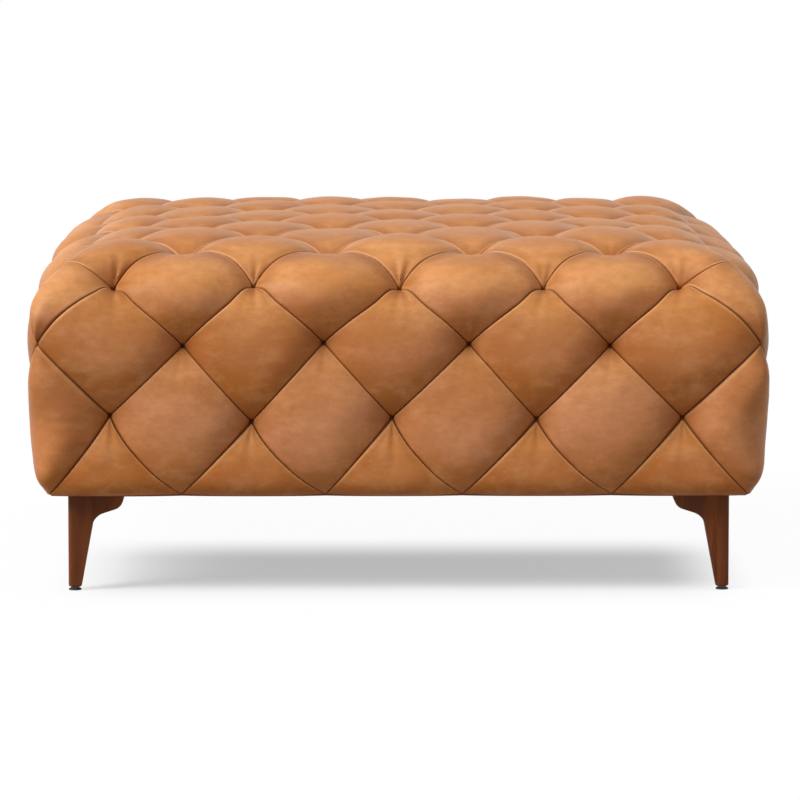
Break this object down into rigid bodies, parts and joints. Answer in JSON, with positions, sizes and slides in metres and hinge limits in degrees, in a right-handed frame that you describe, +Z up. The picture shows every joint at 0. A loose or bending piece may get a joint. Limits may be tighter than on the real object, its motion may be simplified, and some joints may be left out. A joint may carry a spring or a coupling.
{
  "type": "ottoman coffee table",
  "caption": "Low square ottoman coffee table, diamond tufted in leather over its top and sides, on bracket legs with levelling feet.",
  "frame": {"origin": "centre of the footprint on the floor, at the underside of the floor pads", "axes": "+Z up, +X to the right and -Y to the front as the picture shows it; all four sides are alike"},
  "size_m": [0.95, 0.95, 0.463],
  "materials": {
    "leather": "waxed tan hide with a worn, mottled patina and a low sheen",
    "walnut": "dark stained walnut with a satin lacquer",
    "foam": "cream upholstery foam",
    "plywood": "bare plywood",
    "frame_timber": "bare planed softwood",
    "tufting_twine": "waxed nylon twine",
    "dust_cloth": "black woven dust cloth",
    "steel": "zinc plated steel",
    "black_plastic": "moulded black nylon"
  },
  "bodies": {
    "ottoman": {"leather_cover": "leather", "top_tuft_twines": "tufting_twine", "edge_tuft_twines": "tufting_twine", "side_tuft_twines": "tufting_twine", "top_tuft_washers": "steel", "tuft_tacks": "steel", "top_foam_pad": "foam", "deck_board": "plywood", "front_joist": "frame_timber", "rear_joist": "frame_timber", "frame_screws": "steel", "deck_screws": "steel", "leg_bolts": "steel", "post_inserts": "steel", "leveller_inserts": "steel", "leg_dowels": "frame_timber", "dust_cover": "dust_cloth", "front_foam_pad": "foam", "front_base_rail": "frame_timber", "front_panel": "plywood", "front_top_rail": "frame_timber", "right_foam_pad": "foam", "right_base_rail": "frame_timber", "right_panel": "plywood", "right_top_rail": "frame_timber", "rear_foam_pad": "foam", "rear_base_rail": "frame_timber", "rear_panel": "plywood", "rear_top_rail": "frame_timber", "left_foam_pad": "foam", "left_base_rail": "frame_timber", "left_panel": "plywood", "left_top_rail": "frame_timber", "front_left_post": "frame_timber", "front_left_leg": "walnut", "front_right_post": "frame_timber", "front_right_leg": "walnut", "rear_left_post": "frame_timber", "rear_left_leg": "walnut", "rear_right_post": "frame_timber", "rear_right_leg": "walnut"},
    "front_left_foot_pad": {"front_left_leveller_pad": "black_plastic"},
    "front_left_foot_screw": {"front_left_leveller_stem": "steel"},
    "front_right_foot_pad": {"front_right_leveller_pad": "black_plastic"},
    "front_right_foot_screw": {"front_right_leveller_stem": "steel"},
    "rear_left_foot_pad": {"rear_left_leveller_pad": "black_plastic"},
    "rear_left_foot_screw": {"rear_left_leveller_stem": "steel"},
    "rear_right_foot_pad": {"rear_right_leveller_pad": "black_plastic"},
    "rear_right_foot_screw": {"rear_right_leveller_stem": "steel"}
  },
  "joints": [
    {"name": "front_left_foot_travel", "type": "slide", "parent": "ottoman", "child": "front_left_foot_pad", "axis": [0, 0, -1], "range_m": [0, 0.006]},
    {"name": "front_left_foot_turn", "type": "hinge", "parent": "front_left_foot_pad", "child": "front_left_foot_screw", "pos_m": [-0.4206, -0.4206, 0.002], "axis": [0, 0, -1], "range_deg": [0, 2160]},
    {"name": "front_right_foot_travel", "type": "slide", "parent": "ottoman", "child": "front_right_foot_pad", "axis": [0, 0, -1], "range_m": [0, 0.006]},
    {"name": "front_right_foot_turn", "type": "hinge", "parent": "front_right_foot_pad", "child": "front_right_foot_screw", "pos_m": [0.4206, -0.4206, 0.002], "axis": [0, 0, -1], "range_deg": [0, 2160]},
    {"name": "rear_left_foot_travel", "type": "slide", "parent": "ottoman", "child": "rear_left_foot_pad", "axis": [0, 0, -1], "range_m": [0, 0.006]},
    {"name": "rear_left_foot_turn", "type": "hinge", "parent": "rear_left_foot_pad", "child": "rear_left_foot_screw", "pos_m": [-0.4206, 0.4206, 0.002], "axis": [0, 0, -1], "range_deg": [0, 2160]},
    {"name": "rear_right_foot_travel", "type": "slide", "parent": "ottoman", "child": "rear_right_foot_pad", "axis": [0, 0, -1], "range_m": [0, 0.006]},
    {"name": "rear_right_foot_turn", "type": "hinge", "parent": "rear_right_foot_pad", "child": "rear_right_foot_screw", "pos_m": [0.4206, 0.4206, 0.002], "axis": [0, 0, -1], "range_deg": [0, 2160]}
  ],
  "couplings": [
    {"joint": "front_left_foot_turn", "follows": "front_left_foot_travel", "rad_per_m": 6283.2},
    {"joint": "front_right_foot_turn", "follows": "front_right_foot_travel", "rad_per_m": 6283.2},
    {"joint": "rear_left_foot_turn", "follows": "rear_left_foot_travel", "rad_per_m": 6283.2},
    {"joint": "rear_right_foot_turn", "follows": "rear_right_foot_travel", "rad_per_m": 6283.2}
  ]
}
